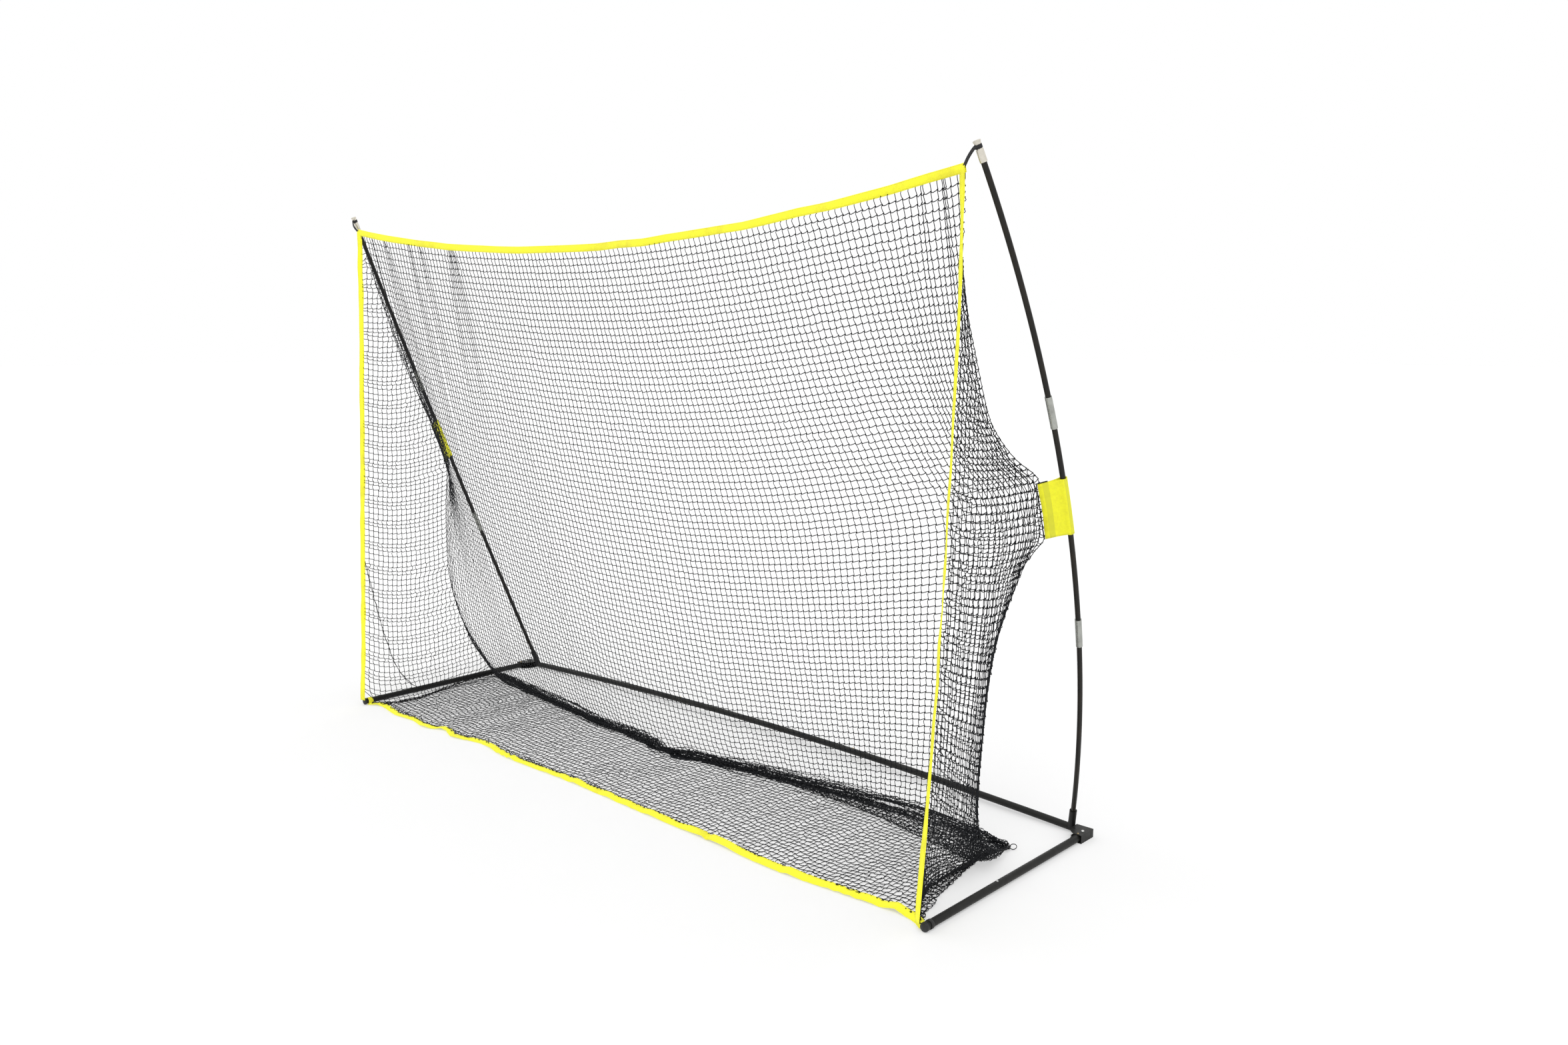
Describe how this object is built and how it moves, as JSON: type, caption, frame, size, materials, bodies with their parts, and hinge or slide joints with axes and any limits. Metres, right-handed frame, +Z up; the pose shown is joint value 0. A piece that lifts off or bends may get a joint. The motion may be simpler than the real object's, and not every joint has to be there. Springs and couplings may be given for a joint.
{
  "type": "golf practice net",
  "caption": "Free-standing golf practice net: folding tube floor frame, two bowed poles and a slanting pocket of black square-mesh netting edged with yellow webbing.",
  "frame": {"origin": "middle of the object's footprint, on the floor", "axes": "+X to the right seen from the open front, +Y from the open front towards the rear rail, +Z up"},
  "size_m": [3.2798, 0.9574, 2.104],
  "materials": {
    "frame_paint": "fine charcoal powder coat",
    "spring_steel": "plain",
    "button_brass": "satin",
    "button_steel": "satin",
    "bracket_paint": "charcoal powder coat",
    "rivet_zinc": "zinc plated",
    "cap_plastic": "moulded",
    "socket_paint": "satin paint",
    "pole_gloss": "glossy fibreglass, black with a brown cast",
    "ferrule_metal": "satin",
    "tip_metal": "satin champagne",
    "sleeve_fabric": "fluorescent yellow woven polyester",
    "strap_black": "woven webbing",
    "border_webbing": "fluorescent yellow webbing",
    "net_black": "knotted twine"
  },
  "bodies": {
    "floor_frame": {"rail_centre": "frame_paint", "rail_left": "frame_paint", "rail_right": "frame_paint", "rail_spring_left": "spring_steel", "rail_spring_right": "spring_steel", "corner_bracket_left": "bracket_paint", "corner_bracket_right": "bracket_paint", "pivot_rivet_left": "rivet_zinc", "pivot_rivet_right": "rivet_zinc", "pole_socket_left": "socket_paint", "pole_socket_right": "socket_paint", "pole_lower_left": "pole_gloss", "pole_lower_right": "pole_gloss", "pole_middle_left": "pole_gloss", "pole_middle_right": "pole_gloss", "pole_upper_left": "pole_gloss", "pole_upper_right": "pole_gloss", "lower_ferrule_left": "ferrule_metal", "lower_ferrule_right": "ferrule_metal", "upper_ferrule_left": "ferrule_metal", "upper_ferrule_right": "ferrule_metal", "pole_tip_left": "tip_metal", "pole_tip_right": "tip_metal", "pole_sleeve_left": "sleeve_fabric", "pole_sleeve_right": "sleeve_fabric", "tip_strap_left": "strap_black", "tip_strap_right": "strap_black", "top_border": "border_webbing", "bottom_border": "border_webbing", "border_left": "border_webbing", "border_right": "border_webbing", "net_back": "net_black", "net_side_left": "net_black", "net_side_right": "net_black", "net_floor": "net_black", "net_fold": "net_black"},
    "left_bar": {"side_bar_rear_left": "frame_paint", "side_bar_front_left": "frame_paint", "end_cap_left": "cap_plastic", "corner_loop_left": "strap_black", "bar_spring_left": "spring_steel", "lock_spring_left": "spring_steel"},
    "left_fold_lock": {"fold_lock_button_left": "button_brass"},
    "left_bar_snap": {"bar_button_left": "button_steel"},
    "left_rail_snap": {"rail_button_left": "button_brass"},
    "right_bar": {"side_bar_rear_right": "frame_paint", "side_bar_front_right": "frame_paint", "end_cap_right": "cap_plastic", "corner_loop_right": "strap_black", "bar_spring_right": "spring_steel", "lock_spring_right": "spring_steel"},
    "right_fold_lock": {"fold_lock_button_right": "button_brass"},
    "right_bar_snap": {"bar_button_right": "button_steel"},
    "right_rail_snap": {"rail_button_right": "button_brass"}
  },
  "joints": [
    {"name": "left_bar_fold", "type": "hinge", "parent": "floor_frame", "child": "left_bar", "pos_m": [-1.525, 0.3898, 0.014], "axis": [0, 0, 1], "range_deg": [0, 90], "deforming": ["net_floor", "net_fold", "bottom_border", "lock_spring_left", "fold_lock_button_left"]},
    {"name": "left_fold_lock_press", "type": "slide", "parent": "left_bar", "child": "left_fold_lock", "axis": [0, 0, -1], "range_m": [0, 0.0036], "stiffness_N_per_m": 900, "springref_m": -0.002, "deforming": ["lock_spring_left"]},
    {"name": "left_bar_button_press", "type": "slide", "parent": "left_bar", "child": "left_bar_snap", "axis": [0, 0, -1], "range_m": [0, 0.0035], "stiffness_N_per_m": 900, "springref_m": -0.002, "deforming": ["bar_spring_left"]},
    {"name": "left_rail_button_press", "type": "slide", "parent": "floor_frame", "child": "left_rail_snap", "axis": [0.0209, -0.7069, -0.707], "range_m": [0, 0.0035], "stiffness_N_per_m": 900, "springref_m": -0.002, "deforming": ["rail_spring_left"]},
    {"name": "right_bar_fold", "type": "hinge", "parent": "floor_frame", "child": "right_bar", "pos_m": [1.525, 0.3898, 0.014], "axis": [0, 0, -1], "range_deg": [0, 90], "deforming": ["net_floor", "net_fold", "bottom_border", "lock_spring_right", "fold_lock_button_right"]},
    {"name": "right_fold_lock_press", "type": "slide", "parent": "right_bar", "child": "right_fold_lock", "axis": [0, 0, -1], "range_m": [0, 0.0036], "stiffness_N_per_m": 900, "springref_m": -0.002, "deforming": ["lock_spring_right"]},
    {"name": "right_bar_button_press", "type": "slide", "parent": "right_bar", "child": "right_bar_snap", "axis": [0, 0, -1], "range_m": [0, 0.0035], "stiffness_N_per_m": 900, "springref_m": -0.002, "deforming": ["bar_spring_right"]},
    {"name": "right_rail_button_press", "type": "slide", "parent": "floor_frame", "child": "right_rail_snap", "axis": [-0.0209, -0.7069, -0.707], "range_m": [0, 0.0035], "stiffness_N_per_m": 900, "springref_m": -0.002, "deforming": ["rail_spring_right"]}
  ]
}
